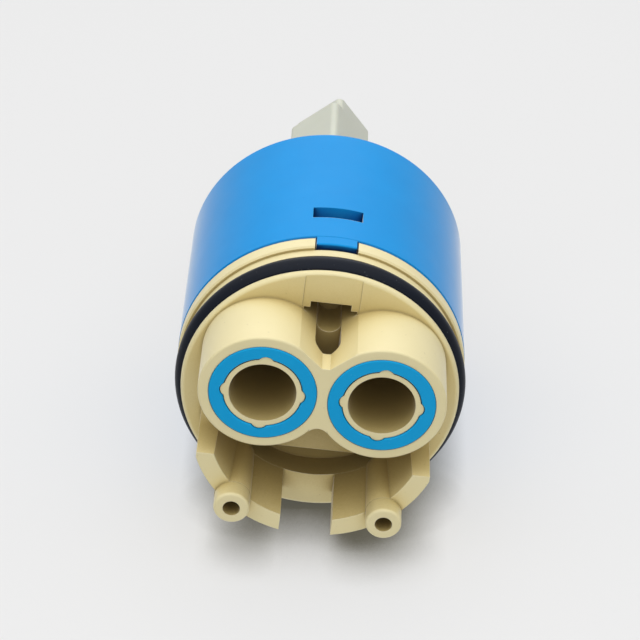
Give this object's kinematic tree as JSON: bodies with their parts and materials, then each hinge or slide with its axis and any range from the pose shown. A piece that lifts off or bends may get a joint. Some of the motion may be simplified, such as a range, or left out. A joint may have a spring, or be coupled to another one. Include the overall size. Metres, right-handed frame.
{
  "type": "ceramic disc tap cartridge",
  "caption": "Single lever mixer tap cartridge: a blue round housing over a beige base with inlet tubes, seals and locating pegs, with ceramic discs inside and a control lever on top.",
  "frame": {"origin": "on the long axis, level with the tips of the locating pegs", "axes": "+Z along the long axis from the base towards the lever; +Y towards the inlet tubes, the visible clip window and the tab; the pegs are at -Y"},
  "size_m": [0.04, 0.04, 0.0888],
  "materials": {
    "housing_abs": "satin moulded",
    "base_acetal": "satin moulded",
    "ring_rubber": "matte",
    "seal_rubber_blue": "satin",
    "seal_rubber_grey": "matte",
    "disc_ceramic": "lapped",
    "carrier_plastic": "moulded",
    "rotor_plastic": "moulded",
    "pin_steel": "ground",
    "lever_plastic": "moulded"
  },
  "bodies": {
    "body": {"housing": "housing_abs", "base": "base_acetal", "base_o_ring": "ring_rubber", "inlet_seal_hot": "seal_rubber_blue", "inlet_seal_cold": "seal_rubber_blue", "port_seal_hot": "seal_rubber_grey", "port_seal_cold": "seal_rubber_grey", "port_seal_outlet": "seal_rubber_grey", "fixed_disc": "disc_ceramic", "glide_washer": "rotor_plastic"},
    "rotor": {"rotor": "rotor_plastic", "rotor_o_ring": "ring_rubber", "pivot_pin": "pin_steel"},
    "lever": {"lever": "lever_plastic"},
    "slider": {"moving_disc": "disc_ceramic", "chamber_seal": "seal_rubber_grey", "carrier": "carrier_plastic"}
  },
  "joints": [
    {"name": "rotor_turn", "type": "hinge", "parent": "body", "child": "rotor", "pos_m": [0, 0, 0.04385], "axis": [0, 0, 1], "range_deg": [-98, 2]},
    {"name": "lever_tilt", "type": "hinge", "parent": "rotor", "child": "lever", "pos_m": [0, 0, 0.04385], "axis": [0.6691, 0.7431, 0], "range_deg": [-12.5, 12.5]},
    {"name": "carrier_slide", "type": "slide", "parent": "rotor", "child": "slider", "axis": [-0.7431, 0.6691, 0], "range_m": [-0.00197, 0.00197]}
  ],
  "couplings": [
    {"joint": "carrier_slide", "follows": "lever_tilt", "m_per_rad": 0.009}
  ]
}
